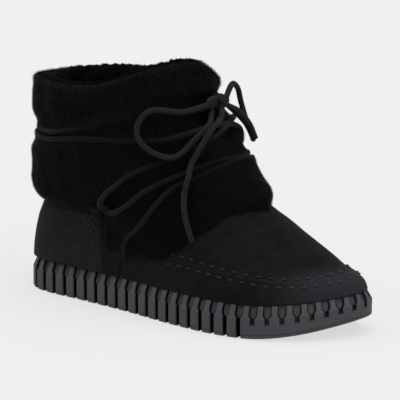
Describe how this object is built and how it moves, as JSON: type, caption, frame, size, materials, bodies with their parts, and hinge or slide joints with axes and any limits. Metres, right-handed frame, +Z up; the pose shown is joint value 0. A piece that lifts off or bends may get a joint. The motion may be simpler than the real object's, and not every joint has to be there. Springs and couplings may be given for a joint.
{
  "type": "ankle boot",
  "caption": "Women's pull-on ankle boot with a suede moccasin foot, a thick plush fur shaft wound with a round lace tied in a bow, and a flat ribbed foam rubber sole.",
  "frame": {"origin": "on the floor, at the middle of the flat bar under the heel, on the line between heel and toe", "axes": "+X from heel to toe, +Y towards the inner (medial) side of the foot, +Z up, the sole resting on the plane z = 0"},
  "size_m": [0.2725, 0.1121, 0.1787],
  "materials": {
    "sole_rubber": "charcoal foam rubber, matt, ribbed",
    "insole_pile": "black short-pile lining",
    "suede": "black suede, matt nap",
    "counter_suede": "black suede, matt nap",
    "fur": "black plush pile",
    "lace_cord": "dark grey round braided cord",
    "keeper_cord": "thin black cord"
  },
  "bodies": {
    "root": {"outsole": "sole_rubber", "insole": "insole_pile", "upper": "suede", "heel_counter": "counter_suede", "fur_shaft": "fur", "lace_wraps": "lace_cord", "lace_keeper_lateral": "keeper_cord", "lace_keeper_medial": "keeper_cord", "lace_knot": "lace_cord", "lace_loop_lateral": "lace_cord", "lace_loop_medial": "lace_cord", "lace_end_lateral": "lace_cord", "lace_end_medial": "lace_cord"}
  },
  "joints": []
}
